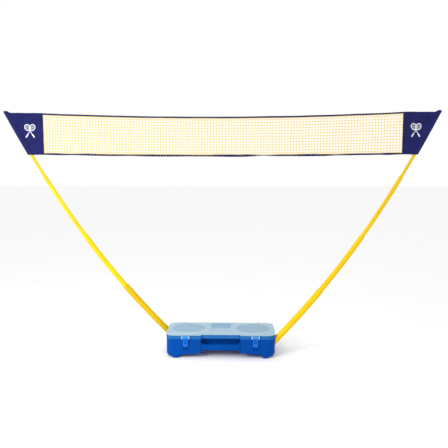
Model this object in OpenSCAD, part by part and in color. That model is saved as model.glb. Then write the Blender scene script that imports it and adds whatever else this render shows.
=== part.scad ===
// Portable badminton net that stands on its own carry case.
// X runs along the net, +Y is the back (hinge) side of the case, +Z is up.
// The origin is on the ground, under the middle of the case.

/* [Case] */
// Length of the case, over the lid
case_l = 748; // [730:1:780]
// Depth of the case, over the lid
case_w = 296; // [290:1:300]
// Height of the parting line between base and lid
part_z = 132; // [130:1:134]
// Height of the lid's rim
lid_h = 28; // [27:1:32]
// Plan corner radius of the lid
corner_r = 55; // [45:1:65]
// Wall thickness of the base
base_wall = 3; // [2.5:0.1:3.5]
// Wall thickness of the lid's rim
lid_wall = 2.5; // [2:0.1:2.8]
// Thickness of the lid's top
lid_top_t = 3; // [2.5:0.1:3.5]
// Step from the lid's outline in to the base's outline
base_step = 3; // [3:0.1:3.4]
// Height of the inner lip that stands up inside the lid
lip_h = 15; // [8:1:16]
// Top of the tray floor
floor_z = 43; // [42:1:45]

/* [Arched underside and feet] */
// Highest point of the arched lower edge
arch_z = 38; // [30:1:39]
// Radius of the arched lower edge
arch_r = 2300; // [2200:10:2600]
// Distance of a foot from the middle, along X
foot_x = 305; // [295:1:308]
// Length of a foot where it meets the ground
foot_l = 34; // [30:1:42]
// How far the lower edge rises from the feet to the ends
end_rise = 30; // [15:1:34]

/* [Carry handle] */
// Half the width of the finger opening
grip_hw = 132; // [120:1:138]
// Depth that the lid is set back over the handle
grip_setback = 18; // [12:1:22]
// Depth of the hand pocket behind the front face
grip_depth = 62; // [56:1:66]
// Underside of the grip bar
bar_z0 = 50; // [48:1:54]
// Height of the grip bar
bar_h = 42; // [36:1:44]
// Thickness of the grip bar, front to back
bar_t = 30; // [26:1:32]
// Radius of the finger opening's lower corners
grip_r = 22; // [14:1:24]

/* [Lid hinge] */
// Distance of each hinge from the middle
hinge_x = 270; // [240:1:290]
// Hinge axis, Y
hinge_y = 159; // [158:0.5:161]
// Hinge axis, Z
hinge_z = 126; // [124:0.5:127]
// Radius of the hinge barrel
hinge_r = 6.5; // [6:0.1:7]
// Radius of the hinge pin
hinge_pin_r = 2; // [1.5:0.1:2.5]

/* [Latches] */
// Distance of each latch from the middle
latch_x = 237; // [225:1:245]
// Width of a latch
latch_w = 40; // [34:1:44]
// Width of each ear that holds a latch pin
ear_w = 7.2; // [5:0.1:8]
// Latch pivot, distance in front of the lid
latch_out = 6; // [6:0.1:7]
// Latch pivot, Z
latch_z = 151; // [150:0.5:152]
// Lower edge of a latch
latch_bottom = 84; // [82:1:88]
// Radius of a latch pin
latch_pin_r = 1.75; // [1.5:0.05:2]

/* [Poles] */
// Outer diameter of the lowest section
pole_d1 = 43.2; // [42.8:0.1:43.4]
// Outer diameter of the second section
pole_d2 = 35; // [34.6:0.1:35.4]
// Outer diameter of the third section
pole_d3 = 27.6; // [27.2:0.1:27.8]
// Outer diameter of the top section
pole_d4 = 20.8; // [19.8:0.1:20.8]
// Wall thickness of the pole tubes
pole_wall = 2.4; // [2:0.1:2.6]
// Distance from the middle to the start of the bend, along X
mouth_x = 395; // [391:0.5:398]
// Offset of each pole from the middle plane: left back, right front
mouth_y = 85.5; // [80:0.5:88]
// Height of the start of the bend
mouth_z = 131; // [129:0.5:133]
// Lean of the pole from the vertical at the start of the bend, degrees
lean = 44; // [43:0.1:45]
// Bend radius of the lowest section when the net is up
bend_r1 = 5440; // [5300:10:5600]
// Bend radius of the second section
bend_r2 = 5570; // [5400:10:5800]
// Bend radius of the third section
bend_r3 = 6510; // [6300:10:6700]
// Bend radius of the top section
bend_r4 = 7690; // [7500:10:7900]
// Visible length of the lowest section
sec_l1 = 430; // [425:1:435]
// Visible length of the second section
sec_l2 = 463; // [458:1:468]
// Visible length of the third section
sec_l3 = 479; // [474:1:484]
// Visible length of the top section
sec_l4 = 492; // [488:1:496]
// Length of each section that sits inside the one below
overlap = 55; // [40:1:70]
// Length of pole below the start of the bend
tail = 100; // [90:1:100]

/* [Net] */
// Half the distance between the inner edges of the end panels
net_hw = 1229; // [1215:1:1240]
// Height of the net's top edge at the end panels
net_top = 1655; // [1645:1:1660]
// Height of the net's bottom edge at the end panels
net_bottom = 1374; // [1365:1:1385]
// Sag of the top edge
sag_top = 28; // [10:1:40]
// Sag of the bottom edge
sag_bottom = 13; // [5:1:25]
// Height of the top and bottom tapes
tape_h = 11; // [8:1:16]
// Thickness of the mesh field, over its knots
mesh_t = 1.6; // [1.2:0.1:3]
// Thickness of tapes and bands
tape_t = 3; // [2:0.1:4]
// Width of the band between mesh and end panel
band_w = 14; // [10:1:20]
// Thickness of an end panel
panel_t = 3; // [2:0.1:4]

/* [Hidden] */
$fn = 64;
eps = 0.01;
fine = 256;                       // long arcs
pole_d = [pole_d1, pole_d2, pole_d3, pole_d4];
bend_r = [bend_r1, bend_r2, bend_r3, bend_r4];
sec_l = [sec_l1, sec_l2, sec_l3, sec_l4];
lid_z = part_z + lid_h;           // top of the lid
base_in = base_step + base_wall;  // inset of the base's inner face
lip_out = base_in - 2;            // outer face of the lip
plane_a = asin(mouth_y / reach(4)[0]);  // turn of each pole's plane, so that both tips meet y = 0
sock_clear = 0.4;                 // radial room between pole and socket
sock_wall = 3;
sock_r = pole_d[0] / 2 + sock_clear + sock_wall;
yf = -case_w / 2;                 // front face of the lid
yb = yf + base_step;              // front face of the base

blue = [0.02, 0.30, 0.80];
bright_blue = [0.03, 0.45, 0.92];
frost = [0.76, 0.83, 0.90, 0.6];
yellow = [0.98, 0.82, 0.05];
ochre = [0.86, 0.68, 0.05];
navy = [0.13, 0.14, 0.42];
steel = [0.7, 0.7, 0.72];

// ---------------------------------------------------------------- pole curve
// The bend is a chain of circular arcs in the pole's own plane, joined without kinks.
// start(i) is [u, z, lean] at the lower end of section i; u is the distance out from the mouth.
function turn(i) = sec_l[i] / bend_r[i] * 180 / PI;
function start(i) = i == 0 ? [0, mouth_z, lean] : ahead(start(i - 1), bend_r[i - 1], sec_l[i - 1]);
function ahead(p, r, s) = let (b = p[2] - s / r * 180 / PI)
  [p[0] + r * (cos(b) - cos(p[2])), p[1] + r * (sin(p[2]) - sin(b)), b];
function reach(n) = start(n);
function centre(i) = let (p = start(i)) [p[0] - bend_r[i] * cos(p[2]), p[1] + bend_r[i] * sin(p[2])];
function on_pole(i, s) = ahead(start(i), bend_r[i], s);

// Everything on a pole is drawn in its plane (u along X, height along Z), then placed.
module pole_place(left) {
  rotate([0, 0, left ? 180 : 0]) translate([mouth_x, -mouth_y, 0]) rotate([0, 0, plane_a]) children();
}
// A round ring or rod swept along section i from s0 to s1
module swept(i, s0, s1, r_out, r_in = 0) {
  c = centre(i); r = bend_r[i];
  a0 = start(i)[2] - s0 / r * 180 / PI;
  da = (s1 - s0) / r * 180 / PI;
  translate([c[0], 0, c[1]]) rotate([90, 0, 0]) rotate([0, 0, -a0])
    rotate_extrude(angle = da, $fn = fine) translate([r, 0]) difference() {
      circle(r = r_out, $fn = 64);
      if (r_in > 0) circle(r = r_in, $fn = 64);
    }
}
// Puts something drawn along +Z at distance s along section i, pointing up the pole
module at_pole(i, s) {
  p = on_pole(i, s);
  translate([p[0], 0, p[1]]) rotate([0, p[2], 0]) children();
}

// ---------------------------------------------------------------- case outline
module block(l, w, h, r) {
  translate([-(l - 2 * r) / 2, -w / 2, 0]) cube([l - 2 * r, w, h]);
  translate([-l / 2, -(w - 2 * r) / 2, 0]) cube([l, w - 2 * r, h]);
  for (sx = [-1, 1], sy = [-1, 1]) translate([sx * (l / 2 - r), sy * (w / 2 - r), 0]) cylinder(r = r, h = h);
}
// The case's plan, moved in by i, from z0 to z1, with the set-back over the handle
module plan(i, z0, z1) {
  difference() {
    translate([0, 0, z0]) block(case_l - 2 * i, case_w - 2 * i, z1 - z0, corner_r - i);
    translate([-(grip_hw + i), yf - 5, z0 - 1]) cube([2 * (grip_hw + i), grip_setback + i + 5, z1 - z0 + 2]);
  }
}
// The straight axis of a socket, drawn along +Z from its lower end
module socket_axis(left) {
  pole_place(left) {
    p = on_pole(0, -tail); q = on_pole(0, 0);
    translate([p[0], 0, p[1]]) rotate([0, atan2(q[0] - p[0], q[1] - p[1]), 0]) children();
  }
}
module both() { children(); mirror([1, 0, 0]) children(); }

// ---------------------------------------------------------------- case base
module case_base() {
  color(blue) difference() {
    union() {
      difference() {
        plan(base_step, 10, part_z);
        // tray
        difference() {
          plan(base_in, floor_z, part_z + 1);
          translate([-(grip_hw + base_wall), yf - 1, 0]) cube([2 * (grip_hw + base_wall), grip_depth + base_wall + base_step + 1, 200]);
          // backing of the finger recesses
          both() translate([latch_x - 24, yf, 50]) cube([48, 15, 40]);
        }
        // hollow under the floor
        difference() {
          plan(base_in, 0, floor_z - 3);
          translate([-(grip_hw + base_wall), yf - 1, -1]) cube([2 * (grip_hw + base_wall), grip_depth + base_wall + base_step + 1, 200]);
          // ribs
          for (x = [-250, -190, 190, 250]) translate([x - 1, yf, -1]) cube([2, case_w, 60]);
          for (x = [-70, 0, 70]) translate([x - 1, yf + grip_depth, -1]) cube([2, case_w - grip_depth, 60]);
        }
        // hand pocket
        translate([-grip_hw, yf - 5, -1]) cube([2 * grip_hw, grip_depth + base_step + 5, part_z - 3]);
        // lower edge drawn up towards both ends
        both() translate([0, case_w, 0]) rotate([90, 0, 0]) linear_extrude(height = 2 * case_w)
          polygon([[330, 0], [case_l / 2 + 5, end_rise + 2], [case_l / 2 + 5, -5], [330, -5]]);
        // arched lower edge
        translate([0, 0, arch_z - arch_r]) rotate([90, 0, 0]) cylinder(r = arch_r, h = case_w + 20, center = true, $fn = fine);
      }
      // lip inside the lid
      difference() {
        plan(lip_out, part_z - 2, part_z + lip_h);
        plan(base_in, part_z - 3, part_z + lip_h + 1);
      }
      grip_bar();
      feet();
      both() hinge_knuckles();
      // catches that the latches close against
      both() catch();
      // screw bosses under the floor
      for (l = [false, true]) screw_spots(l) translate([0, 0, floor_z - 14]) cylinder(r = 5, h = 13);
    }
    // finger recesses under the latches
    both() translate([latch_x - 19, yf - 5, 54]) cube([38, 15, 30]);
    // ways through for the pole sockets
    difference() {
      for (l = [false, true]) socket_axis(l) translate([0, 0, -40]) cylinder(r = sock_r + 0.3, h = 218);
      translate([-500, -500, -200]) cube([1000, 1000, 200 + floor_z]);
    }
    // pilot holes of the socket screws
    for (l = [false, true]) screw_spots(l) translate([0, 0, floor_z - 12]) cylinder(r = 1.95, h = 20);
  }
}
module grip_bar() {
  r = 12;
  translate([-grip_hw - 1, yb, bar_z0]) rotate([90, 0, 90]) linear_extrude(height = 2 * grip_hw + 2) {
    translate([r, 0]) square([bar_t - 2 * r, bar_h]);
    translate([0, r]) square([bar_t, bar_h - 2 * r]);
    for (y = [r, bar_t - r], z = [r, bar_h - r]) translate([y, z]) circle(r = r);
  }
  // rounded lower corners of the finger opening
  for (s = [0, 1]) mirror([s, 0, 0]) difference() {
    translate([grip_hw - grip_r, yb, bar_z0 + bar_h - 14]) cube([grip_r + 0.5, bar_t - 4, grip_r + 14]);
    translate([grip_hw - grip_r, yb - 1, bar_z0 + bar_h + grip_r]) rotate([-90, 0, 0]) cylinder(r = grip_r, h = bar_t);
  }
}
module feet() {
  for (sx = [-1, 1], sy = [-1, 1])
    translate([sx * foot_x, sy > 0 ? -yb - 0.5 : yb + 0.5 + 36, 0]) rotate([90, 0, 0]) linear_extrude(height = 36)
      polygon([[-foot_l / 2, 0], [foot_l / 2, 0], [foot_l / 2 + 4, 16], [foot_l / 2 + 4, floor_z - 2], [-foot_l / 2 - 4, floor_z - 2], [-foot_l / 2 - 4, 16]]);
}
// A wedge on the front face, just behind the closed latch
module catch() {
  translate([latch_x + 14, 0, 0]) rotate([90, 0, -90]) linear_extrude(height = 28)
    polygon([[-yb - 0.5, 88], [-yb + 8.1, 97], [-yb + 8.1, 101], [-yb - 0.5, 103]]);
}
module hinge_knuckles() {
  for (x = [hinge_x - 24, hinge_x + 12.4]) difference() {
    union() {
      translate([x, hinge_y, hinge_z]) rotate([0, 90, 0]) cylinder(r = hinge_r, h = 11.6);
      translate([x, -yb - 1, hinge_z - hinge_r]) cube([11.6, hinge_y + yb + 1, hinge_r + 4]);
    }
    translate([x - 1, hinge_y, hinge_z]) rotate([0, 90, 0]) cylinder(r = hinge_pin_r + 0.02, h = 14);
  }
}
module screw_spots(left) {
  rotate([0, 0, left ? 180 : 0]) for (y = [-76, -108]) translate([250, y, 0]) children();
}

// ---------------------------------------------------------------- lid
module oval(a, b, h) {
  // four-arc oval, half-length a and half-width b
  r1 = b * 0.78; c = a - r1;
  d = (c * c - (b - r1) * (b - r1)) / (2 * (b - r1));
  R = b + d; k = c * R / (R - r1);
  for (s = [-1, 1]) translate([s * c, 0, 0]) cylinder(r = r1, h = h);
  intersection() {
    translate([0, -d, 0]) cylinder(r = R, h = h, $fn = fine);
    translate([0, d, 0]) cylinder(r = R, h = h, $fn = fine);
    translate([-k, -b - 1, 0]) cube([2 * k, 2 * b + 2, h]);
  }
}
module case_lid() {
  color(frost) difference() {
    union() {
      difference() {
        plan(0, part_z, lid_z);
        plan(lid_wall, part_z - 1, lid_z - lid_top_t);
      }
      both() lid_arm();
      both() latch_ears();
    }
    // windows pressed into the top
    both() translate([226, 12, lid_z - 1.2]) oval(118, 97, 3);
    translate([-71, -84, lid_z - 1.2]) block_at(142, 218, 3, 10);
    translate([-67, 22, lid_z - 1.9]) block_at(134, 108, 3, 7);
    // notches over the poles
    for (l = [false, true]) socket_axis(l) translate([0, 0, 20]) cylinder(r = sock_r + 1.2, h = 170);
    both() translate([hinge_x - 30, hinge_y, hinge_z]) rotate([0, 90, 0]) cylinder(r = hinge_pin_r + 0.05, h = 60);
    both() translate([latch_x - 40, yf - latch_out, latch_z]) rotate([0, 90, 0]) cylinder(r = latch_pin_r + 0.02, h = 80);
  }
}
module block_at(l, w, h, r) { translate([l / 2, w / 2, 0]) block(l, w, h, r); }
module lid_arm() {
  translate([hinge_x - 12, 0, 0]) {
    translate([0, hinge_y, hinge_z]) rotate([0, 90, 0]) cylinder(r = hinge_r, h = 24);
    translate([0, hinge_y - 5.5, hinge_z]) cube([24, 11, lid_z - 8 - hinge_z]);
    translate([0, -yf - 1.5, lid_z - 12]) cube([24, hinge_y + yf + 1.5, 11]);
    translate([0, hinge_y - 1.5, lid_z - 8]) rotate([0, 90, 0]) cylinder(r = 7, h = 24);
  }
}
module latch_ears() {
  for (x = [latch_x - latch_w / 2 - 0.4 - ear_w, latch_x + latch_w / 2 + 0.4]) translate([x, 0, 0]) {
    translate([0, yf - latch_out, latch_z]) rotate([0, 90, 0]) cylinder(r = 5, h = ear_w);
    translate([0, yf - latch_out - 5, part_z + 3]) cube([ear_w, latch_out + 6, latch_z - part_z - 3]);
    translate([0, yf - latch_out, part_z + 3]) cube([ear_w, latch_out + 1, latch_z + 5 - part_z - 3]);
  }
}

// ---------------------------------------------------------------- pins and latches
module hinge_pin() {
  color(steel) translate([hinge_x - 25, hinge_y, hinge_z]) rotate([0, 90, 0]) cylinder(r = hinge_pin_r, h = 50);
}
module latch_pin() {
  color(steel) translate([latch_x - latch_w / 2 - 0.4 - ear_w, yf - latch_out, latch_z]) rotate([0, 90, 0]) cylinder(r = latch_pin_r, h = latch_w + 0.8 + 2 * ear_w);
}
module latch() {
  py = yf - latch_out;
  color(bright_blue) difference() {
    union() {
      translate([latch_x - latch_w / 2, py, latch_z]) rotate([0, 90, 0]) cylinder(r = 5, h = latch_w);
      // plate, thinner than the barrel, with a finger lip at its foot
      translate([latch_x + latch_w / 2, 0, 0]) rotate([90, 0, -90]) linear_extrude(height = latch_w)
        polygon([[-py + 5, latch_z], [-py + 5, latch_z - 12], [-py + 3.6, latch_z - 18], [-py + 3.6, latch_bottom + 9],
                 [-py + 7.5, latch_bottom + 2], [-py + 7.5, latch_bottom], [-py + 3, latch_bottom], [-py - 0.2, latch_bottom + 6], [-py - 0.2, latch_z]]);
      // grip ribs
      for (z = [14.5, 29, 43.5]) translate([latch_x - latch_w / 2 + 6, py - 3.6, latch_bottom + z]) rotate([0, 90, 0]) cylinder(r = 1.7, h = latch_w - 12);
    }
    // the plate is narrower than the barrel
    for (x = [latch_x - latch_w / 2 - 3, latch_x + latch_w / 2 - 2.6]) translate([x, py - 14, latch_bottom - 4]) cube([5.6, 18, latch_z - 14 - latch_bottom + 4]);
    // two slots
    for (z = [21.5, 36]) translate([latch_x - 9.5, py - 10, latch_bottom + z - 2.3]) cube([19, 14, 4.6]);
    translate([latch_x - latch_w / 2 - 1, py, latch_z]) rotate([0, 90, 0]) cylinder(r = latch_pin_r + 0.05, h = latch_w + 2);
  }
}

// ---------------------------------------------------------------- pole sockets
module pole_socket(left) {
  color(blue) difference() {
    union() {
      socket_axis(left) translate([0, 0, -40]) cylinder(r = sock_r, h = 200);
      rotate([0, 0, left ? 180 : 0]) translate([242, -118, floor_z + 0.2]) cube([84, 52, 3.5]);
    }
    socket_axis(left) translate([0, 0, -50]) cylinder(r = pole_d[0] / 2 + sock_clear, h = 250);
    // flush with the outside of the end wall, and with the floor
    rotate([0, 0, left ? 180 : 0]) translate([case_l / 2 - base_step, -200, -50]) cube([200, 400, 400]);
    translate([-500, -500, floor_z + 0.2 - 100]) cube([1000, 1000, 100]);
    screw_spots(left) cylinder(r = 2.2, h = 100);
  }
}
module socket_screws() {
  color(steel) for (l = [false, true]) screw_spots(l) {
    translate([0, 0, floor_z - 10]) cylinder(r = 1.9, h = 14);
    difference() {
      translate([0, 0, floor_z + 3.7]) cylinder(r = 3.8, h = 2.6);
      for (a = [0, 90]) rotate([0, 0, a]) translate([-2.4, -0.5, floor_z + 4.9]) cube([4.8, 1, 2]);
    }
  }
}

// ---------------------------------------------------------------- poles
function ro(i) = pole_d[i] / 2;
function ri(i) = pole_d[i] / 2 - pole_wall;
module pole_section(i, left) {
  lo = i == 0 ? -tail + 4 : -overlap;
  color(i == 0 && left ? ochre : yellow) pole_place(left) {
    if (i < 3) difference() {
      swept(i, lo, sec_l[i], ro(i));
      swept(i, lo - 5, sec_l[i] - 12, ri(i));
      // the mouth is drawn in to grip the next section
      swept(i, sec_l[i] - 14, sec_l[i] + 5, ro(i + 1) + 0.15);
    } else swept(i, lo, sec_l[i], ro(i), ri(i));
  }
}
module pole_plug(i, left) {
  lo = i == 0 ? -tail + 4 : -overlap;
  color(ochre) pole_place(left) at_pole(i, lo) {
    translate([0, 0, -3.5]) cylinder(r = i == 0 ? ro(0) - 0.2 : ri(i - 1) - 0.3, h = 3.4);
    translate([0, 0, -0.1]) difference() {
      cylinder(r = ri(i) - 0.15, h = 16);
      translate([0, 0, 2]) cylinder(r = ri(i) - 2, h = 20);
    }
  }
}
module pole_tip_cap(left) {
  color(ochre) pole_place(left) at_pole(3, sec_l[3]) {
    translate([0, 0, 0.1]) cylinder(r = ro(3) - 0.2, h = 2);
    translate([0, 0, 2.1 - 6]) intersection() {
      cylinder(r = 7.2, h = 10.5);
      translate([0, 0, -3]) sphere(r = 13.5);
    }
    translate([0, 0, -14]) cylinder(r = ri(3) - 0.15, h = 14.2);
  }
}

// ---------------------------------------------------------------- net
net_a = atan2((panel_in_y() * 2), net_hw * 2);   // small turn of the net, so that it runs from panel to panel
function panel_u() = (net_hw - mouth_x) / cos(plane_a);
function panel_in_y() = mouth_y - panel_u() * sin(plane_a);
function z_top(x) = net_top - sag_top * (1 - pow(x / net_hw, 2));
function z_bot(x) = net_bottom - sag_bottom * (1 - pow(x / net_hw, 2));
net_steps = [for (k = [-16:16]) k / 16];
module net_strip(hw, t, up, lo) {
  // up and lo are the strip's edges, as offsets from the net's top or bottom edge
  rotate([0, 0, -net_a]) translate([0, t / 2, 0]) rotate([90, 0, 0]) linear_extrude(height = t)
    polygon(concat([for (k = net_steps) [k * hw, up[0] * z_top(k * hw) + (1 - up[0]) * z_bot(k * hw) + up[1]]],
                   [for (j = [16:-1:-16]) let (k = j / 16) [k * hw, lo[0] * z_top(k * hw) + (1 - lo[0]) * z_bot(k * hw) + lo[1]]]));
}
net_in = net_hw - band_w - 0.4;
module net_mesh() { color(yellow) net_strip(net_in - 0.4, mesh_t, [1, -tape_h - 0.2], [0, tape_h + 0.2]); }
module net_top_tape() { color(navy) net_strip(net_in - 0.4, tape_t, [1, 0], [1, -tape_h]); }
module net_bottom_tape() { color(navy) net_strip(net_in - 0.4, tape_t, [0, tape_h], [0, 0]); }
module side_band(left) {
  color(navy) rotate([0, 0, -net_a]) translate([left ? -net_hw + 0.6 : net_hw - band_w, -tape_t / 2, net_bottom - 1])
    cube([band_w - 0.6, tape_t, net_top - net_bottom + 1]);
}
// The end panel is one folded cloth: a flat panel and a tunnel that slips over the pole's tip
module end_panel(left) {
  u0 = panel_u() + 0.6;
  tip = on_pole(3, sec_l[3]); low = on_pole(3, sec_l[3] - 325);
  color(navy) pole_place(left) difference() {
    union() {
      translate([0, panel_t / 2, 0]) rotate([90, 0, 0]) linear_extrude(height = panel_t)
        polygon([[u0, net_top], [tip[0] + 25, 1664.5], [tip[0] + 22, 1650], [low[0] + 25, net_bottom - 2], [u0, net_bottom - 1]]);
      intersection() {
        swept(3, sec_l[3] - 330, sec_l[3] + 9, ro(3) + 3.2);
        translate([low[0] - 100, -50, net_bottom - 2]) cube([400, 100, 1664.5 - net_bottom + 2]);
      }
    }
    swept(3, sec_l[3] - 360, sec_l[3] + 3.2, ro(3) + 0.6);
    at_pole(3, sec_l[3]) translate([0, 0, 2]) cylinder(r = 8, h = 5.6);
  }
}

// ---------------------------------------------------------------- pieces
case_base();
case_lid();
mirror([1, 0, 0]) hinge_pin();  // hinge_pin_left
hinge_pin();  // hinge_pin_right
mirror([1, 0, 0]) latch();  // latch_left
latch();  // latch_right
mirror([1, 0, 0]) latch_pin();  // latch_pin_left
latch_pin();  // latch_pin_right
pole_socket(true);  // pole_socket_left
pole_socket(false);  // pole_socket_right
socket_screws();
pole_section(0, true);  // pole_left_section_1
pole_section(1, true);  // pole_left_section_2
pole_section(2, true);  // pole_left_section_3
pole_section(3, true);  // pole_left_section_4
pole_section(0, false);  // pole_right_section_1
pole_section(1, false);  // pole_right_section_2
pole_section(2, false);  // pole_right_section_3
pole_section(3, false);  // pole_right_section_4
pole_plug(0, true);  // pole_left_plug_1
pole_plug(1, true);  // pole_left_plug_2
pole_plug(2, true);  // pole_left_plug_3
pole_plug(3, true);  // pole_left_plug_4
pole_plug(0, false);  // pole_right_plug_1
pole_plug(1, false);  // pole_right_plug_2
pole_plug(2, false);  // pole_right_plug_3
pole_plug(3, false);  // pole_right_plug_4
pole_tip_cap(true);  // pole_left_tip_cap
pole_tip_cap(false);  // pole_right_tip_cap
net_mesh();
net_top_tape();
net_bottom_tape();
side_band(true);  // side_band_left
side_band(false);  // side_band_right
end_panel(true);  // end_panel_left
end_panel(false);  // end_panel_right
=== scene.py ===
import math
import random

import bpy
import numpy as np
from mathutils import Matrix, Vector, noise


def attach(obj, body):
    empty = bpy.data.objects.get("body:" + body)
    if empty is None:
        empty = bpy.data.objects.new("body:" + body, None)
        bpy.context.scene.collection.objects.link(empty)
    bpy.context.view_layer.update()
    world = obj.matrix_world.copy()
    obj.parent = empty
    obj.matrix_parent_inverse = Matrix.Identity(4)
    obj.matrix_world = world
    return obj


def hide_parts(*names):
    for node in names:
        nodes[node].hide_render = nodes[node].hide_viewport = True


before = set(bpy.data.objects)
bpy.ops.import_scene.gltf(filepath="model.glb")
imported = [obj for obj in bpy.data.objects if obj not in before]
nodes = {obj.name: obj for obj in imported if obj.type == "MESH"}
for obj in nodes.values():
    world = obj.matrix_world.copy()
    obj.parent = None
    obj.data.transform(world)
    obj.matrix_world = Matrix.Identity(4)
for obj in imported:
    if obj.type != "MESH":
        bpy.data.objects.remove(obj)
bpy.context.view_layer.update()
random.seed(7)

# ------------------------------------------------------------------ sizes, metres
MX, MY, MZ = 0.395, 0.0855, 0.131
LEAN = math.radians(44)
BEND = [5.440, 5.570, 6.510, 7.690]
LENG = [0.430, 0.463, 0.479, 0.492]
NET_HW, NET_TOP, NET_BOT = 1.229, 1.655, 1.374
SAG_T, SAG_B = 0.028, 0.013
BAND = 0.014


def section_start(i):
    u, z, b = 0.0, MZ, LEAN
    for k in range(i):
        u, z, b = ahead(u, z, b, BEND[k], LENG[k])
    return u, z, b


def ahead(u, z, b, r, s):
    e = b - s / r
    return u + r * (math.cos(e) - math.cos(b)), z + r * (math.sin(b) - math.sin(e)), e


def on_pole(i, s):
    return ahead(*section_start(i), BEND[i], s)


TIP = on_pole(3, LENG[3])
PLANE = math.asin(MY / TIP[0])
PANEL_U = (NET_HW - MX) / math.cos(PLANE)
IN_Y = MY - PANEL_U * math.sin(PLANE)
NET_A = math.atan2(2 * IN_Y, 2 * NET_HW)


def place(u, z, v, left):
    """A point of a pole's plane: u outwards from the case, z up, v towards the front of the net."""
    if left:
        v = -v
    v = -v
    x = MX + u * math.cos(PLANE) - v * math.sin(PLANE)
    y = -MY + u * math.sin(PLANE) + v * math.cos(PLANE)
    return (-x, -y, z) if left else (x, y, z)


def net_point(x, z, front):
    """A point of the net's plane, front metres towards the viewer's side."""
    c, s = math.cos(-NET_A), math.sin(-NET_A)
    return (x * c + front * s, x * s - front * c, z)


def z_top(x):
    return NET_TOP - SAG_T * (1 - (x / NET_HW) ** 2)


def z_bot(x):
    return NET_BOT - SAG_B * (1 - (x / NET_HW) ** 2)


def smooth(a, b, x):
    t = min(1.0, max(0.0, (x - a) / (b - a)))
    return t * t * (3 - 2 * t)


def wob(x, y=0.0, z=0.0):
    return noise.noise(Vector((x, y, z)))


# ------------------------------------------------------------------ materials
class Finish:
    """A Principled material with its texture chain in object coordinates."""

    def __init__(self, name, **values):
        self.m = bpy.data.materials.new(name)
        self.m.use_nodes = True
        self.t = self.m.node_tree
        self.t.nodes.clear()
        self.out = self.t.nodes.new("ShaderNodeOutputMaterial")
        self.b = self.t.nodes.new("ShaderNodeBsdfPrincipled")
        self.t.links.new(self.b.outputs[0], self.out.inputs[0])
        self.co = self.t.nodes.new("ShaderNodeTexCoord").outputs["Object"]
        self.sep = None
        for k, v in values.items():
            self.b.inputs[k.replace("_", " ")].default_value = v

    def put(self, node, socket, value):
        s = node.inputs[socket]
        if isinstance(value, bpy.types.NodeSocket):
            self.t.links.new(value, s)
        elif value is not None:
            s.default_value = value

    def axis(self, k):
        if self.sep is None:
            n = self.t.nodes.new("ShaderNodeSeparateXYZ")
            self.t.links.new(self.co, n.inputs[0])
            self.sep = n
        return self.sep.outputs[k]

    def scaled(self, sx, sy, sz):
        n = self.t.nodes.new("ShaderNodeMapping")
        self.t.links.new(self.co, n.inputs[0])
        n.inputs["Scale"].default_value = (sx, sy, sz)
        return n.outputs[0]

    def noise(self, scale, detail=3.0, rough=0.55, co=None, distortion=0.0):
        n = self.t.nodes.new("ShaderNodeTexNoise")
        self.put(n, "Vector", co or self.co)
        n.inputs["Scale"].default_value = scale
        n.inputs["Detail"].default_value = detail
        n.inputs["Roughness"].default_value = rough
        n.inputs["Distortion"].default_value = distortion
        return n.outputs["Fac"]

    def cells(self, scale, co=None):
        n = self.t.nodes.new("ShaderNodeTexVoronoi")
        self.put(n, "Vector", co or self.co)
        n.inputs["Scale"].default_value = scale
        return n.outputs["Distance"]

    def math(self, op, a, b=None, c=None, clamp=False):
        n = self.t.nodes.new("ShaderNodeMath")
        n.operation = op
        n.use_clamp = clamp
        for k, v in enumerate((a, b, c)):
            if v is not None:
                self.put(n, k, v)
        return n.outputs[0]

    def span(self, value, a, b, lo=0.0, hi=1.0):
        n = self.t.nodes.new("ShaderNodeMapRange")
        self.put(n, "Value", value)
        for k, v in (("From Min", a), ("From Max", b), ("To Min", lo), ("To Max", hi)):
            n.inputs[k].default_value = v
        return n.outputs[0]

    def mix(self, fac, a, b, blend="MIX"):
        n = self.t.nodes.new("ShaderNodeMix")
        n.data_type = "RGBA"
        n.blend_type = blend
        self.put(n, 0, fac)
        self.put(n, 6, (*a, 1) if isinstance(a, tuple) and len(a) == 3 else a)
        self.put(n, 7, (*b, 1) if isinstance(b, tuple) and len(b) == 3 else b)
        return n.outputs[2]

    def bump(self, height, distance, strength=1.0, under=None):
        n = self.t.nodes.new("ShaderNodeBump")
        n.inputs["Strength"].default_value = strength
        n.inputs["Distance"].default_value = distance
        self.put(n, "Height", height)
        if under is not None:
            self.t.links.new(under, n.inputs["Normal"])
        return n.outputs[0]

    def use(self, **sockets):
        for k, v in sockets.items():
            self.put(self.b, k.replace("_", " "), v)
        return self


def rgb(r, g, b):
    """sRGB bytes to linear."""
    return tuple(
        (c / 255) / 12.92 if c / 255 <= 0.04045 else ((c / 255 + 0.055) / 1.055) ** 2.4
        for c in (r, g, b)
    )


def moulded(name, base, dark, rough, grain=0.00012, head=None, **values):
    """Injection-moulded plastic: fine grain, flow clouding, handling scuffs."""
    f = Finish(name, **values)
    cloud = f.noise(9.0, 2.0)
    speck = f.noise(900.0, 2.0, 0.7)
    tint = f.mix(f.span(cloud, 0.35, 0.7), base, dark)
    tint = f.mix(f.span(speck, 0.62, 0.8, 0.0, 0.18), tint, tuple(min(1, c * 1.5 + 0.004) for c in base))
    if head:
        tint = f.mix(f.span(f.axis(2), 0.1405, 0.1425, 0.0, 0.9), tint, head)
    scuff = f.noise(34.0, 5.0, 0.7, co=f.scaled(1.0, 1.0, 5.0), distortion=1.2)
    r = f.span(scuff, 0.45, 0.75, rough, rough + 0.16)
    peel = f.noise(240.0, 2.0, 0.5)
    normal = f.bump(peel, grain * 3.0, 0.5, under=None)
    normal = f.bump(speck, grain, 0.8, under=normal)
    return f.use(Base_Color=tint, Roughness=r, Normal=normal)


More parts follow.
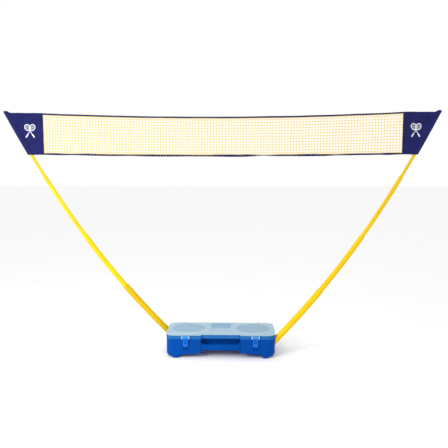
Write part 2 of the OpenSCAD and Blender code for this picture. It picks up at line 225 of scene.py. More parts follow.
case_blue = moulded("case_blue", rgb(0, 70, 156), rgb(0, 64, 146), 0.36, Specular_IOR_Level=0.04)
socket_blue = moulded("socket_blue", rgb(0, 60, 144), rgb(0, 52, 130), 0.42, Specular_IOR_Level=0.1)
latch_blue = moulded("latch_blue", rgb(0, 104, 206), rgb(0, 94, 194), 0.24, grain=0.00006, head=rgb(52, 138, 202),
                     Specular_IOR_Level=0.14, Coat_Weight=0.03, Coat_Roughness=0.12)
fitting = moulded("pole_fitting", rgb(196, 158, 24), rgb(176, 140, 20), 0.48)


def frosted():
    f = Finish("lid_frosted", Specular_IOR_Level=0.16)
    z = f.axis(2)
    x = f.axis(0)
    window = f.math("MULTIPLY", f.math("GREATER_THAN", z, 0.1578), f.math("LESS_THAN", z, 0.15905))
    deep = f.math("MULTIPLY", f.math("GREATER_THAN", z, 0.1578), f.math("LESS_THAN", z, 0.1584))
    ridge = f.math("LESS_THAN", f.cells(150.0, co=f.scaled(1.0, 1.0, 0.01)), 0.24)
    cloud = f.noise(11.0, 3.0, 0.6)
    flow = f.noise(26.0, 3.0, 0.5, co=f.scaled(0.35, 1.4, 1.0), distortion=0.6)
    tint = f.mix(f.span(cloud, 0.3, 0.75), rgb(173, 199, 212), rgb(159, 188, 205))
    tint = f.mix(f.span(flow, 0.45, 0.8, 0.0, 0.35), tint, rgb(184, 205, 217))
    ear = f.math("LESS_THAN", f.axis(1), -0.1492)
    side = f.math("MULTIPLY", f.math("LESS_THAN", z, 0.1565), f.math("SUBTRACT", 1.0, ear))
    middle = f.math("MULTIPLY", window, f.math("LESS_THAN", f.math("ABSOLUTE", x, 0.0), 0.1))
    alpha = f.span(flow, 0.3, 0.8, 0.80, 0.88)
    alpha = f.math("SUBTRACT", alpha, f.math("MULTIPLY", window, 0.14))
    alpha = f.math("SUBTRACT", alpha, f.math("MULTIPLY", deep, 0.10))
    alpha = f.math("SUBTRACT", alpha, f.math("MULTIPLY", side, 0.34))
    tint = f.mix(f.math("MULTIPLY", window, 0.75), tint, rgb(148, 183, 209))
    tint = f.mix(f.math("MULTIPLY", middle, 0.7), tint, rgb(172, 200, 221))
    alpha = f.math("ADD", alpha, f.math("MULTIPLY", middle, 0.08))
    tint = f.mix(f.math("MULTIPLY", deep, 0.8), tint, rgb(128, 174, 208))
    tint = f.mix(f.math("MULTIPLY", side, 0.96), tint, rgb(14, 114, 196))
    tint = f.mix(f.math("MULTIPLY", ear, 0.9), tint, rgb(158, 188, 212))
    grain = f.noise(1400.0, 2.0, 0.7)
    r = f.span(cloud, 0.3, 0.8, 0.34, 0.46)
    normal = f.bump(flow, 0.0006, 0.35)
    normal = f.bump(f.math("MULTIPLY", ridge, window), 0.0003, 0.35, under=normal)
    normal = f.bump(grain, 0.00006, 0.8, under=normal)
    return f.use(Base_Color=tint, Roughness=r, Alpha=alpha, Normal=normal)


lid_frosted = frosted()


def metal():
    f = Finish("steel", Metallic=1.0)
    lines = f.noise(160.0, 3.0, 0.6, co=f.scaled(0.2, 8.0, 8.0))
    tint = f.mix(f.span(lines, 0.3, 0.7), rgb(196, 198, 202), rgb(160, 163, 168))
    return f.use(Base_Color=tint, Roughness=f.span(lines, 0.3, 0.7, 0.22, 0.4), Normal=f.bump(lines, 0.0001, 0.5))


steel = metal()


def tube(name, base, dark):
    """Extruded coloured tube: satin gloss, faint clouding, small handling marks."""
    f = Finish(name, Coat_Weight=0.03, Coat_Roughness=0.16, Specular_IOR_Level=0.12)
    cloud = f.noise(7.0, 2.0, 0.5)
    fine = f.noise(700.0, 2.0, 0.6)
    marks = f.noise(60.0, 6.0, 0.75, distortion=2.0)
    tint = f.mix(f.span(cloud, 0.35, 0.7), base, dark)
    tint = f.mix(f.span(marks, 0.66, 0.8, 0.0, 0.35), tint, tuple(c * 0.72 for c in dark))
    r = f.span(marks, 0.45, 0.75, 0.24, 0.42)
    normal = f.bump(f.noise(45.0, 2.0, 0.5), 0.0006, 0.25)
    normal = f.bump(fine, 0.00006, 0.7, under=normal)
    return f.use(Base_Color=tint, Roughness=r, Normal=normal)


pole_yellow = tube("pole_yellow", rgb(228, 192, 0), rgb(220, 182, 0))
pole_deep = tube("pole_yellow_deep", rgb(208, 173, 0), rgb(198, 162, 0))


def cloth(name, base, dark, pitch, rough=0.85, sheen=0.35, ax=(0, 2)):
    """Woven cloth: two crossed sets of threads, faded patches, a little lint."""
    f = Finish(name, Roughness=rough, Sheen_Weight=sheen, Sheen_Roughness=0.4, Specular_IOR_Level=0.25)
    k = 2 * math.pi / pitch
    a = f.math("SINE", f.math("MULTIPLY", f.axis(ax[0]), k))
    b = f.math("SINE", f.math("MULTIPLY", f.axis(ax[1]), k))
    weave = f.math("ADD", f.math("MULTIPLY", a, b), f.math("MULTIPLY", f.math("ADD", a, b), 0.35))
    fade = f.noise(16.0, 4.0, 0.6)
    lint = f.noise(420.0, 3.0, 0.8)
    tint = f.mix(f.span(fade, 0.35, 0.7), base, dark)
    tint = f.mix(f.span(weave, -1.0, 1.4, 0.30, 0.0), tint, tuple(c * 0.45 for c in dark))
    tint = f.mix(f.span(lint, 0.66, 0.8, 0.0, 0.16), tint, tuple(min(1, c * 2.2 + 0.03) for c in base))
    normal = f.bump(f.noise(130.0, 3.0, 0.6), 0.0005, 0.35)
    normal = f.bump(weave, pitch * 0.22, 0.7, under=normal)
    return f.use(Base_Color=tint, Normal=normal)


navy_panel = cloth("panel_navy", rgb(25, 29, 97), rgb(19, 22, 83), 0.0011, sheen=0.02)
navy_tape = cloth("tape_navy", rgb(24, 27, 88), rgb(18, 20, 74), 0.0014, sheen=0.04)
navy_thread = cloth("stitch_navy", rgb(58, 62, 140), rgb(46, 50, 124), 0.0009, rough=0.7, sheen=0.05)
print_white = cloth("print_white", rgb(246, 246, 248), rgb(232, 233, 238), 0.0011, rough=0.6, sheen=0.0)


def yarn():
    f = Finish("net_yellow", Roughness=0.7, Sheen_Weight=0.05, Specular_IOR_Level=0.15)
    k = 2 * math.pi / 0.0016
    lay = f.math("SINE", f.math("MULTIPLY", f.math("ADD", f.math("ADD", f.axis(0), f.axis(2)), f.axis(1)), k))
    fade = f.noise(20.0, 3.0, 0.6)
    tint = f.mix(f.span(fade, 0.35, 0.7), rgb(248, 210, 0), rgb(244, 202, 0))
    tint = f.mix(f.span(lay, -1.0, 0.6, 0.25, 0.0), tint, rgb(232, 190, 0))
    return f.use(Base_Color=tint, Normal=f.bump(lay, 0.0003, 0.6))


net_yellow = yarn()


# ------------------------------------------------------------------ mesh helpers
def make(name, verts, faces, material, body="case", shade=True, solid=None):
    me = bpy.data.meshes.new(name)
    me.from_pydata([tuple(v) for v in verts], [], faces)
    me.validate()
    o = bpy.data.objects.new(name, me)
    bpy.context.scene.collection.objects.link(o)
    me.materials.append(material.m)
    if shade:
        me.polygons.foreach_set("use_smooth", [True] * len(me.polygons))
    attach(o, body)
    return o


def outward(o):
    """Turns the faces outwards."""
    import bmesh

    bm = bmesh.new()
    bm.from_mesh(o.data)
    bmesh.ops.recalc_face_normals(bm, faces=bm.faces)
    bm.to_mesh(o.data)
    bm.free()


def tube_mesh(lines, radius, sides, verts, faces):
    """Adds a closed tube along each line of points."""
    for line in lines:
        p = np.array(line, float)
        d = np.gradient(p, axis=0)
        d /= np.linalg.norm(d, axis=1)[:, None]
        ref = np.array((0.0, 1.0, 0.0))
        base = len(verts)
        n = len(p)
        for i in range(n):
            a = np.cross(d[i], ref)
            a /= np.linalg.norm(a)
            b = np.cross(d[i], a)
            for k in range(sides):
                t = 2 * math.pi * k / sides
                verts.append(p[i] + radius * (math.cos(t) * a + math.sin(t) * b))
        for i in range(n - 1):
            for k in range(sides):
                m = (k + 1) % sides
                faces.append((base + i * sides + k, base + i * sides + m, base + (i + 1) * sides + m, base + (i + 1) * sides + k))
        faces.append(tuple(base + k for k in reversed(range(sides))))
        faces.append(tuple(base + (n - 1) * sides + k for k in range(sides)))


def blob(centre, rx, ry, rz, verts, faces):
    """Adds a small eight-sided knot."""
    base = len(verts)
    for zz, rr in ((-0.55, 0.8), (0.55, 0.8)):
        for k in range(6):
            t = math.pi * k / 3
            verts.append((centre[0] + rx * rr * math.cos(t), centre[1] + ry * rr * math.sin(t), centre[2] + rz * zz))
    verts.append((centre[0], centre[1], centre[2] - rz))
    verts.append((centre[0], centre[1], centre[2] + rz))
    for k in range(6):
        m = (k + 1) % 6
        faces.append((base + k, base + m, base + 6 + m, base + 6 + k))
        faces.append((base + m, base + k, base + 12))
        faces.append((base + 6 + k, base + 6 + m, base + 13))


def stitches(path, out, length, gap, thick, verts, faces):
    """Adds a row of thread dashes along path (points), each lifted by out(i) from the cloth."""
    p = np.array(path, float)
    seg = np.linalg.norm(np.diff(p, axis=0), axis=1)
    run = np.concatenate([[0], np.cumsum(seg)])
    total = run[-1]
    at = gap * 0.5
    while at + length < total:
        ends = [np.array([np.interp(q, run, p[:, k]) for k in range(3)]) for q in (at, at + length / 2, at + length)]
        o = np.array(out, float)
        o /= np.linalg.norm(o)
        d = ends[2] - ends[0]
        d /= np.linalg.norm(d)
        s = np.cross(d, o)
        base = len(verts)
        for e, w, lift in ((ends[0], 0.35, -0.2), (ends[1], 1.0, 0.75), (ends[2], 0.35, -0.2)):
            c = e + o * thick * lift
            for a, b in ((1, 0), (0, 1), (-1, 0), (0, -1)):
                verts.append(c + s * thick * 0.55 * a * w + o * thick * 0.55 * b * w)
        for i in range(2):
            for k in range(4):
                m = (k + 1) % 4
                faces.append((base + i * 4 + k, base + i * 4 + m, base + (i + 1) * 4 + m, base + (i + 1) * 4 + k))
        faces.append((base + 3, base + 2, base + 1, base))
        faces.append((base + 8, base + 9, base + 10, base + 11))
        at += length + gap


def ribbon(name, centre, half_w, half_t, material, rounds=5):
    """A closed band: centre is a list of (point, across direction, out direction, width share)."""
    verts, faces = [], []
    ring = []
    for k in range(rounds + 1):
        t = -math.pi / 2 + math.pi * k / rounds
        ring.append((half_w - half_t + half_t * math.cos(t), half_t * math.sin(t)))
    for k in range(1, 6):
        ring.append(((half_w - half_t) * (1 - k / 3.0), half_t))
    for k in range(rounds + 1):
        t = math.pi / 2 + math.pi * k / rounds
        ring.append((-half_w + half_t + half_t * math.cos(t), half_t * math.sin(t)))
    for k in range(1, 6):
        ring.append(((half_w - half_t) * (k / 3.0 - 1), -half_t))
    n = len(ring)
    for i, (p, a, o, share) in enumerate(centre):
        p, a, o = (np.array(q, float) for q in (p, a, o))
        for j, (w, t) in enumerate(ring):
            crown = 1 + 0.10 * wob(i * 0.11, j * 0.7, 3.0)
            verts.append(p + a * w * share + o * t * crown)
    for i in range(len(centre) - 1):
        for k in range(n):
            m = (k + 1) % n
            faces.append((i * n + k, i * n + m, (i + 1) * n + m, (i + 1) * n + k))
    faces.append(tuple(reversed(range(n))))
    faces.append(tuple((len(centre) - 1) * n + k for k in range(n)))
    o = make(name, verts, faces, material)
    outward(o)
    return o


# ------------------------------------------------------------------ mesh field of the net
PITCH = 0.0201
IN = NET_HW - BAND - 0.0008
THREAD = 0.0016
cols = int(round(2 * IN / PITCH))
rows = 14
edge_in = 0.0045


def field(c, r):
    """The place of knot (c, r), both may be fractional. Row 0 is at the bottom tape."""
    x = -IN + 2 * IN * c / cols
    lo, hi = z_bot(x) + edge_in, z_top(x) - edge_in
    t = r / rows
    z = lo + (hi - lo) * t
    slack = math.sin(math.pi * min(1, max(0, t)))
    side = min(1.0, min(c, cols - c) / 2.0)
    x += 0.0014 * wob(c * 0.55, r * 0.5, 1.0) * side * slack * 1.6
    z += 0.0016 * wob(c * 0.47, r * 0.6, 7.0) * slack * 1.6 - 0.0018 * slack * side * abs(math.sin(math.pi * c))
    front = 0.0028 * wob(c * 0.07, r * 0.14, 4.0) * slack * side
    return net_point(x, z, front)


verts, faces = [], []
lines = []
for c in range(cols + 1):
    # the outer threads lie in the side bands
    cc = min(max(c, 0.12), cols - 0.12)
    lines.append([field(cc, r / 2) for r in range(2 * rows + 1)])
for r in range(1, rows):
    lines.append([field(c / 2, r) for c in range(2 * cols + 1)])
tube_mesh(lines, THREAD, 5, verts, faces)
for c in range(0, cols + 1):
    for r in range(1, rows):
        p = field(min(max(c, 0.12), cols - 0.12), r)
        blob(p, 0.0023, 0.0019, 0.0023, verts, faces)
mesh_field = make("net_threads", verts, faces, net_yellow)
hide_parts("net_mesh")

# the rows of thread that bind the mesh to its tapes
verts, faces = [], []
for up in (True, False):
    line = []
    for k in range(0, 2 * cols * 2 + 1):
        x = -IN + 0.003 + (2 * IN - 0.006) * k / (4 * cols)
        z = z_top(x) - 0.0125 + 0.0006 * math.sin(k * math.pi / 2) if up else z_bot(x) + 0.0125 + 0.0006 * math.sin(k * math.pi / 2)
        line.append(net_point(x, z, 0.0006 * math.cos(k * math.pi / 2)))
    tube_mesh([line], 0.0011, 5, verts, faces)
head_ropes = make("net_head_threads", verts, faces, net_yellow)
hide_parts("net_mesh")

# ------------------------------------------------------------------ tapes
TAPE_N = 420


def tape_line(top):
    """Centre line, across and out directions of a tape, with its lazy twist."""
    row = []
    for i in range(TAPE_N + 1):
        x = -IN + 2 * IN * i / TAPE_N
        ends = min(1.0, min(i, TAPE_N - i) / 16.0)
        if top:
            z = z_top(x) - 0.0055 + 0.0014 * wob(x * 5.0, 2.0) * ends
            turn = 0.42 * wob(x * 3.1, 11.0) * ends + 0.12 * wob(x * 13.0, 5.0) * ends
            share = 1.0 + 0.10 * wob(x * 4.0, 20.0) * ends
            front = 0.0012 * wob(x * 4.0, 9.0) * ends
        else:
            z = z_bot(x) + 0.0055 + 0.0012 * wob(x * 6.0, 31.0) * ends
            # the lower tape rolls over now and then and is seen on edge there
            roll = sum(s * smooth(0.0, 1.0, 1 - abs(x - c) / w) for c, w, s in LOWER_ROLLS)
            turn = (roll + 0.25 * wob(x * 4.4, 41.0)) * ends
            share = 1.0 + 0.45 * ends * smooth(0.0, 1.0, 0.5 + 1.2 * wob(x * 3.6 + 3.1, 52.0))
            front = 0.0010 * wob(x * 5.0, 49.0) * ends
        p = net_point(x, z, front)
        out = np.array(net_point(0, 0, 1.0))
        across = np.array((0.0, 0.0, 1.0))
        c, s = math.cos(turn), math.sin(turn)
        row.append((p, across * c + out * s, out * c - across * s, share))
    return row


LOWER_ROLLS = [(-1.02, 0.16, 0.9), (-0.62, 0.14, -0.8), (0.02, 0.1, 0.4), (0.29, 0.17, 1.35), (0.78, 0.15, -0.9), (1.06, 0.1, 0.7)]
top_row, low_row = tape_line(True), tape_line(False)
top_tape = ribbon("top_tape", top_row, 0.0056, 0.0013, navy_tape)
low_tape = ribbon("bottom_tape", low_row, 0.0056, 0.0011, navy_tape)
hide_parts("net_top_tape")
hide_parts("net_bottom_tape")


def tape_stitches(name, row, half_w, half_t):
    verts, faces = [], []
    for side in (1, -1):
        for edge in (0.62, -0.62):
            path = [np.array(p) + np.array(a) * half_w * edge * share + np.array(o) * half_t * side * 1.0 for p, a, o, share in row[2:-2]]
            # the dashes follow the tape's own face
            p = np.array(path)
            run = np.concatenate([[0], np.cumsum(np.linalg.norm(np.diff(p, axis=0), axis=1))])
            outs = np.array([np.array(o) * side for _, _, o, _ in row[2:-2]])
            at = 0.002
            while at + 0.0034 < run[-1]:
                ends = [np.array([np.interp(q, run, p[:, k]) for k in range(3)]) for q in (at, at + 0.0017, at + 0.0034)]
                o = np.array([np.interp(at + 0.0017, run, outs[:, k]) for k in range(3)])
                stitches(ends, o, 0.0030, 0.0002, 0.0007, verts, faces)
                at += 0.0062
    return make(name, verts, faces, navy_thread)


tape_stitches("top_tape_stitches", top_row, 0.0056, 0.0013)
tape_stitches("bottom_tape_stitches", low_row, 0.0056, 0.0011)

# ------------------------------------------------------------------ side bands
for left in (True, False):
    name = "left" if left else "right"
    sgn = -1 if left else 1
    row = []
    n = 96
    z0, z1 = NET_BOT - 0.001, NET_TOP
    for i in range(n + 1):
        t = i / n
        z = z0 + (z1 - z0) * t
        x = sgn * (NET_HW - BAND / 2 - 0.0004 + 0.0007 * wob(t * 5.0, 61.0 + sgn))
        ends = min(1.0, min(i, n - i) / 8.0)
        turn = (0.22 * wob(t * 4.0, 71.0 + sgn) + 0.1 * wob(t * 15.0, 81.0)) * ends
        out = np.array(net_point(0, 0, 1.0))
        across = np.array(net_point(1.0, 0, 0))
        c, s = math.cos(turn), math.sin(turn)
        share = 0.96 + 0.05 * wob(t * 7.0, 91.0 + sgn)
        row.append((net_point(x, z, 0.0006 * wob(t * 5, 95.0)), across * c + out * s, out * c - across * s, share))
    band = ribbon(f"side_binding_{name}", row, 0.0072, 0.0023, navy_tape)
    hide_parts(f"side_band_{name}")
    tape_stitches(f"side_binding_stitches_{name}", row, 0.0072, 0.0023)

# ------------------------------------------------------------------ end panels
R_OUT = 0.0129


def pole_at_z(z):
    """u of the pole's axis and its lean at height z, on the top section."""
    lo, hi = LENG[3] - 0.42, LENG[3] + 0.03
    for _ in range(40):
        mid = (lo + hi) / 2
        if on_pole(3, mid)[1] < z:
            lo = mid
        else:
            hi = mid
    u, _, b = on_pole(3, lo)
    return u, b, lo


U0 = PANEL_U - 0.0035
LOW = pole_at_z(NET_BOT - 0.002)
OUT_LOW, OUT_TOP = LOW[0] + 0.0235, TIP[0] + 0.0235
FLAT = 0.0013


def panel_edges(u):
    """Bottom and top height of the panel at u."""
    t = (u - U0) / (OUT_TOP - U0)
    top = NET_TOP + 0.0078 * smooth(0.78, 1.0, t) + 0.0022 * wob(u * 14.0, 3.3)
    # the cloth stands up over the pole's tip
    top += 0.006 * math.exp(-(((u - TIP[0] - 0.004) / 0.013) ** 2))
    low = NET_BOT - 0.001 + 0.0012 * wob(u * 17.0, 8.8)
    return low, top


def sleeve(d):
    """Half the sleeve's depth at distance d across the pole: round over the pole, then straight down to the seam."""
    ds = 0.026 if d < 0 else 0.0215
    a = abs(d)
    # tangent from the seam to the circle
    ct = R_OUT / ds
    at = R_OUT * ct
    if a <= at:
        return math.sqrt(max(R_OUT**2 - a * a, 0.0))
    if a >= ds:
        return 0.0
    return math.sqrt(R_OUT**2 - at * at) * (ds - a) / (ds - at)


def wrinkle(u, z, left):
    """How far the cloth leans out of its plane, both layers together."""
    k = 13.0 if left else 29.0
    pu, b, _ = pole_at_z(min(z, TIP[1]))
    d = (pu - u) * math.cos(b)
    calm = smooth(0.012, 0.05, d) * smooth(0.0, 0.03, u - U0)
    calm *= 0.35 + 0.65 * smooth(0.0, 0.05, z - NET_BOT)
    # pull lines fan out from the tip of the pole
    ang = math.atan2(NET_TOP + 0.01 - z, TIP[0] + 0.02 - u)
    fan = math.sin(ang * 11.0 + 2.0 * wob(ang * 3.0, k) + k) * smooth(0.28, 0.03, math.hypot(TIP[0] - u, NET_TOP - z))
    soft = wob(u * 11.0, z * 7.0, k) + 0.45 * wob(u * 24.0 + z * 10.0, z * 21.0, k + 4.0)
    cross = math.sin((z * 46.0 + u * 20.0) + 2.2 * wob(u * 9.0, z * 9.0, k)) * smooth(0.09, 0.02, d)
    return calm * (0.0016 * fan + 0.0034 * soft + 0.0010 * cross)


def hem_fold(u, z, left):
    """The turned-over hems are a layer thicker."""
    tuck = -0.0006 * smooth(0.006, 0.003, u - U0)
    low, top = panel_edges(u)
    a = smooth(0.030, 0.0285, top - z) * 0.0007
    b = smooth(0.0125, 0.0115, z - low) * 0.0006
    crease = -0.0008 * math.exp(-(((top - z - 0.0305) / 0.0016) ** 2))
    return (max(a, b) + crease) * smooth(0.003, 0.008, u - U0) + tuck


def half_depth(u, z, left):
    pu, b, s = pole_at_z(z)
    d = (u - pu) * math.cos(b)
    h = sleeve(d)
    over = s - LENG[3]
    cap = 1.0 if over < 0.004 else max(0.0, 1 - ((over - 0.004) / 0.011) ** 2) ** 0.5
    h *= cap
    ripple = 0.0007 * math.sin(z * 240.0 + 3.0 * wob(z * 14.0, u * 30.0, 5.0)) * smooth(0.03, 0.016, abs(d)) * (1 if abs(d) > 0.011 else 0.35)
    flat = FLAT + 0.0002 * wob(u * 40.0, z * 40.0, 2.0) + hem_fold(u, z, left)
    return math.sqrt(h * h + flat * flat) + (ripple if h > 0.002 else 0.0)


def panel_u(s, z):
    """Column s from 0 at the inner edge to 1 at the outer edge."""
    pu, b, _ = pole_at_z(min(z, NET_TOP + 0.01))
    inner, outer = pu - 0.029 / math.cos(b), None
    t = (z - NET_BOT) / (NET_TOP - NET_BOT)
    outer = OUT_LOW + (OUT_TOP - OUT_LOW) * t + 0.0012 * wob(z * 22.0, 6.6)
    # outer edge keeps to the pole's own bend
    outer = max(outer, pu + 0.0205 / math.cos(b))
    if s < 0.55:
        return U0 + (inner - U0) * s / 0.55
    return inner + (outer - inner) * (s - 0.55) / 0.45


def panel_grid(left, nu=104, nv=96):
    pts = []
    for j in range(nv + 1):
        t = j / nv
        t = 0.5 - 0.5 * math.cos(math.pi * t) if False else t
        # finer rows at both ends
        t = t + 0.11 * math.sin(2 * math.pi * t) * -1 * 0.9 / 1.0 * 0.7
        row = []
        for i in range(nu + 1):
            s = i / nu
            z = NET_BOT + (NET_TOP - NET_BOT) * t
            for _ in range(4):
                u = panel_u(s, z)
                low, top = panel_edges(u)
                z = low + (top - low) * t
            row.append((u, z))
        pts.append(row)
    return pts


def cloth_front(u, z, left, side):
    """The cloth's surface: side 1 is the front layer, -1 the back one."""
    return wrinkle(u, z, left) + side * half_depth(u, z, left)


def racket_marks():
    """Two crossed rackets as flat outlines: lists of quads in the panel's own plane, centred on 0, 0."""
    quads = []

    def bar(x0, y0, x1, y1, w, n):
        L = math.hypot(x1 - x0, y1 - y0)
        dx, dy = (x1 - x0) / L, (y1 - y0) / L
        for i in range(n):
            a, b = i / n, (i + 1) / n
            p = [(x0 + (x1 - x0) * q, y0 + (y1 - y0) * q) for q in (a, b)]
            quads.append([(p[0][0] - dy * w / 2, p[0][1] + dx * w / 2), (p[0][0] + dy * w / 2, p[0][1] - dx * w / 2),
                          (p[1][0] + dy * w / 2, p[1][1] - dx * w / 2), (p[1][0] - dy * w / 2, p[1][1] + dx * w / 2)])

    for sgn in (-1, 1):
        c, s = math.cos(sgn * math.radians(33)), math.sin(sgn * math.radians(33))

        def tr(x, y):
            return (x * c - y * s, x * s + y * c)

        n = 40
        for i in range(n):
            a, b = 2 * math.pi * i / n, 2 * math.pi * (i + 1) / n
            quads.append([tr(0.0150 * math.cos(a), 0.028 + 0.0195 * math.sin(a)), tr(0.0196 * math.cos(a), 0.028 + 0.0241 * math.sin(a)),
                          tr(0.0196 * math.cos(b), 0.028 + 0.0241 * math.sin(b)), tr(0.0150 * math.cos(b), 0.028 + 0.0195 * math.sin(b))])
        for x in (-0.0075, 0.0, 0.0075):
            h = 0.0195 * math.sqrt(1 - (x / 0.0150) ** 2)
            bar(*tr(x, 0.028 - h), *tr(x, 0.028 + h), 0.0014, 10)
        for y in (-0.010, 0.0, 0.010):
            w = 0.0150 * math.sqrt(1 - (y / 0.0195) ** 2)
            bar(*tr(-w, 0.028 + y), *tr(w, 0.028 + y), 0.0014, 10)
        bar(*tr(0, 0.006), *tr(0, -0.026), 0.0042, 12)
        bar(*tr(0, -0.026), *tr(0, -0.052), 0.0082, 10)
    return quads


for left in (True, False):
    name = "left" if left else "right"
    grid = panel_grid(left)
    nv, nu = len(grid) - 1, len(grid[0]) - 1
    verts, faces = [], []
    for side in (1, -1):
        for row in grid:
            for u, z in row:
                verts.append(place(u, z, cloth_front(u, z, left, side), left))
    size = (nv + 1) * (nu + 1)

    def at(j, i, side):
        return (0 if side == 1 else size) + j * (nu + 1) + i

    for j in range(nv):
        for i in range(nu):
            faces.append((at(j, i, 1), at(j, i + 1, 1), at(j + 1, i + 1, 1), at(j + 1, i, 1)))
            faces.append((at(j, i, -1), at(j + 1, i, -1), at(j + 1, i + 1, -1), at(j, i + 1, -1)))
        # inner edge closed by its hem, outer edge is the fold
        faces.append((at(j, 0, 1), at(j + 1, 0, 1), at(j + 1, 0, -1), at(j, 0, -1)))
        faces.append((at(j, nu, 1), at(j, nu, -1), at(j + 1, nu, -1), at(j + 1, nu, 1)))
    for i in range(nu):
        faces.append((at(nv, i, 1), at(nv, i + 1, 1), at(nv, i + 1, -1), at(nv, i, -1)))
        # the lower edge stays open round the pole
        u, z = grid[0][i]
        if half_depth(u, z, left) < 0.0035 or half_depth(*grid[0][i + 1], left) < 0.0035:
            faces.append((at(0, i, 1), at(0, i, -1), at(0, i + 1, -1), at(0, i + 1, 1)))
    panel = make(f"panel_cloth_{name}", verts, faces, navy_panel)
    outward(panel)
    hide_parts(f"end_panel_{name}")
    solid = panel.modifiers.new("cloth", "SOLIDIFY")
    solid.thickness = 0.0007
    solid.offset = -1.0

    # seams: beside the sleeve, along the top hem, the lower hem and the inner hem
    sv, sf = [], []
    for side in (1, -1):
        out = np.array(place(0, 0, 1.0 * side, left)) - np.array(place(0, 0, 0, left))
        seams = []
        for off in (-0.0275, -0.0305):
            seams.append([(pole_at_z(z)[0] + off / math.cos(pole_at_z(z)[1]), z) for z in np.linspace(NET_BOT + 0.003, NET_TOP - 0.004, 70)])
        for off in (0.0268, 0.0030):
            seams.append([(u, panel_edges(u)[1] - off) for u in np.linspace(U0 + 0.004, TIP[0] - 0.03, 60)])
        for off in (0.0026, 0.0102):
            seams.append([(u, panel_edges(u)[0] + off) for u in np.linspace(U0 + 0.004, LOW[0] - 0.028, 40)])
        seams.append([(U0 + 0.0125, z) for z in np.linspace(NET_BOT + 0.004, NET_TOP - 0.004, 60)])
        for seam in seams:
            path = [place(u, z, cloth_front(u, z, left, side) + side * 0.00005, left) for u, z in seam]
            stitches(path, out, 0.0030, 0.0016, 0.0007, sv, sf)
    make(f"panel_stitches_{name}", sv, sf, navy_thread)

    # generic print on the front: two crossed rackets
    pv, pf = [], []
    cu = (1.304 - MX) / math.cos(PLANE)
    for quad in racket_marks():
        base = len(pv)
        for x, y in quad:
            u = cu + (-x if left else x)
            z = 1.534 + y * 1.0
            pv.append(place(u, z, cloth_front(u, z, left, 1) + 0.00028, left))
        pf.append((base, base + 1, base + 2, base + 3))
    make(f"panel_print_{name}", pv, pf, print_white)

    # a binding tape folded over the sleeve's mouth
    mv, mf = [], []
    ring, n = [], 48
    pu, b, s0 = pole_at_z(NET_BOT + 0.0015)
    for k in range(n + 1):
        d = -0.0262 + (0.0262 + 0.0212) * k / n
        u = pu + d / math.cos(b)
        ring.append((u, NET_BOT + 0.0005, cloth_front(u, NET_BOT + 0.0015, left, 1) + 0.0005))
    for k in range(n, -1, -1):
        d = -0.0262 + (0.0262 + 0.0212) * k / n
        u = pu + d / math.cos(b)
        ring.append((u, NET_BOT + 0.0005, cloth_front(u, NET_BOT + 0.0015, left, -1) - 0.0005))
    tube_mesh([[place(u, z, v, left) for u, z, v in ring]], 0.0011, 6, mv, mf)
    make(f"sleeve_binding_{name}", mv, mf, navy_tape)

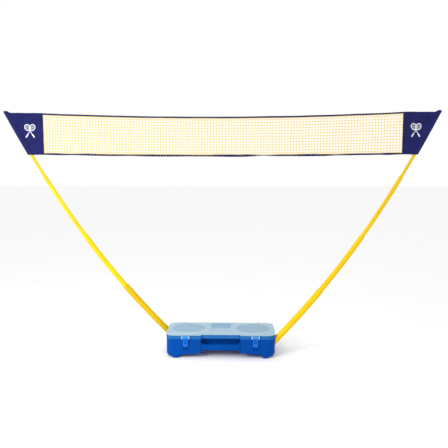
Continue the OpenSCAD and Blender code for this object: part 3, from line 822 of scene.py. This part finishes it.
# ------------------------------------------------------------------ finishes of the CAD pieces
finish_of = {
    "case_base": (case_blue, "case_blue"),
    "case_lid": (lid_frosted, "lid_frosted"),
    "latch_left": (latch_blue, "latch_blue"),
    "latch_right": (latch_blue, "latch_blue"),
    "pole_socket_left": (socket_blue, "socket_blue"),
    "pole_socket_right": (socket_blue, "socket_blue"),
}
for n in nodes:
    if "pin" in n or "screw" in n:
        finish_of[n] = (steel, "steel")
    elif "plug" in n or "tip_cap" in n:
        finish_of[n] = (fitting, "pole_fitting")
    elif "_section_" in n:
        finish_of[n] = (pole_deep if n == "pole_left_section_1" else pole_yellow, "pole_yellow")
for n, (f, s) in finish_of.items():
    o = nodes[n]
    o.data.materials.clear()
    o.data.materials.append(f.m)
    if n in ("case_base", "case_lid", "latch_left", "latch_right", "pole_socket_left", "pole_socket_right"):
        bevel = o.modifiers.new("edge", "BEVEL")
        bevel.width = 0.0009 if n.startswith("case") else 0.0005
        bevel.segments = 2
        bevel.limit_method = "ANGLE"
        bevel.angle_limit = math.radians(40)
        bevel.use_clamp_overlap = True
        bevel.harden_normals = False
    o.data.polygons.foreach_set("use_smooth", [True] * len(o.data.polygons))
    weld = o.modifiers.new("flat", "WEIGHTED_NORMAL") if n.startswith(("case", "latch_l", "latch_r", "pole_socket")) and "pin" not in n else None
    if weld:
        weld.keep_sharp = True
        weld.weight = 80

# ------------------------------------------------------------------ stage
floor_me = bpy.data.meshes.new("floor")
floor_me.from_pydata([(-40, -40, 0), (40, -40, 0), (40, 40, 0), (-40, 40, 0)], [], [(0, 1, 2, 3)])
floor = bpy.data.objects.new("floor", floor_me)
bpy.context.scene.collection.objects.link(floor)
pale = Finish("floor_pale", Roughness=0.9, Specular_IOR_Level=0.0)
pale.use(Base_Color=pale.mix(pale.noise(3.0, 3.0), rgb(250, 250, 250), rgb(246, 246, 247)))
floor_me.materials.append(pale.m)
floor.location.z = -0.0004

world = bpy.data.worlds.new("studio")
bpy.context.scene.world = world
world.use_nodes = True
world.node_tree.nodes["Background"].inputs[0].default_value = (1.0, 1.0, 1.0, 1)
world.node_tree.nodes["Background"].inputs[1].default_value = 1.0


def lamp(name, kind, energy, place_at, aim, size):
    data = bpy.data.lights.new(name, kind)
    data.energy = energy
    if kind == "AREA":
        data.shape = "DISK"
        data.size = size
    o = bpy.data.objects.new(name, data)
    bpy.context.scene.collection.objects.link(o)
    o.location = place_at
    o.rotation_euler = (Vector(aim) - Vector(place_at)).to_track_quat("-Z", "Y").to_euler()
    return o


lamp("key", "AREA", 22, (-1.35, -1.55, 1.15), (-0.25, 0, 0.1), 0.7)
lamp("high", "AREA", 20, (-1.6, -2.4, 3.4), (0, 0, 1.0), 1.6)

cam = bpy.data.cameras.new("camera")
camera = bpy.data.objects.new("camera", cam)
bpy.context.scene.collection.objects.link(camera)
camera.location = (0.0912, -3.5248, 1.2619)
camera.rotation_euler = (math.radians(90 - 5.864), 0, math.radians(1.142))
cam.sensor_width = 36.0
cam.lens = 36.0 * 514.95 / 448
cam.clip_start, cam.clip_end = 0.05, 200
bpy.context.scene.camera = camera
bpy.context.scene.view_settings.view_transform = "Standard"

bpy.context.view_layer.update()
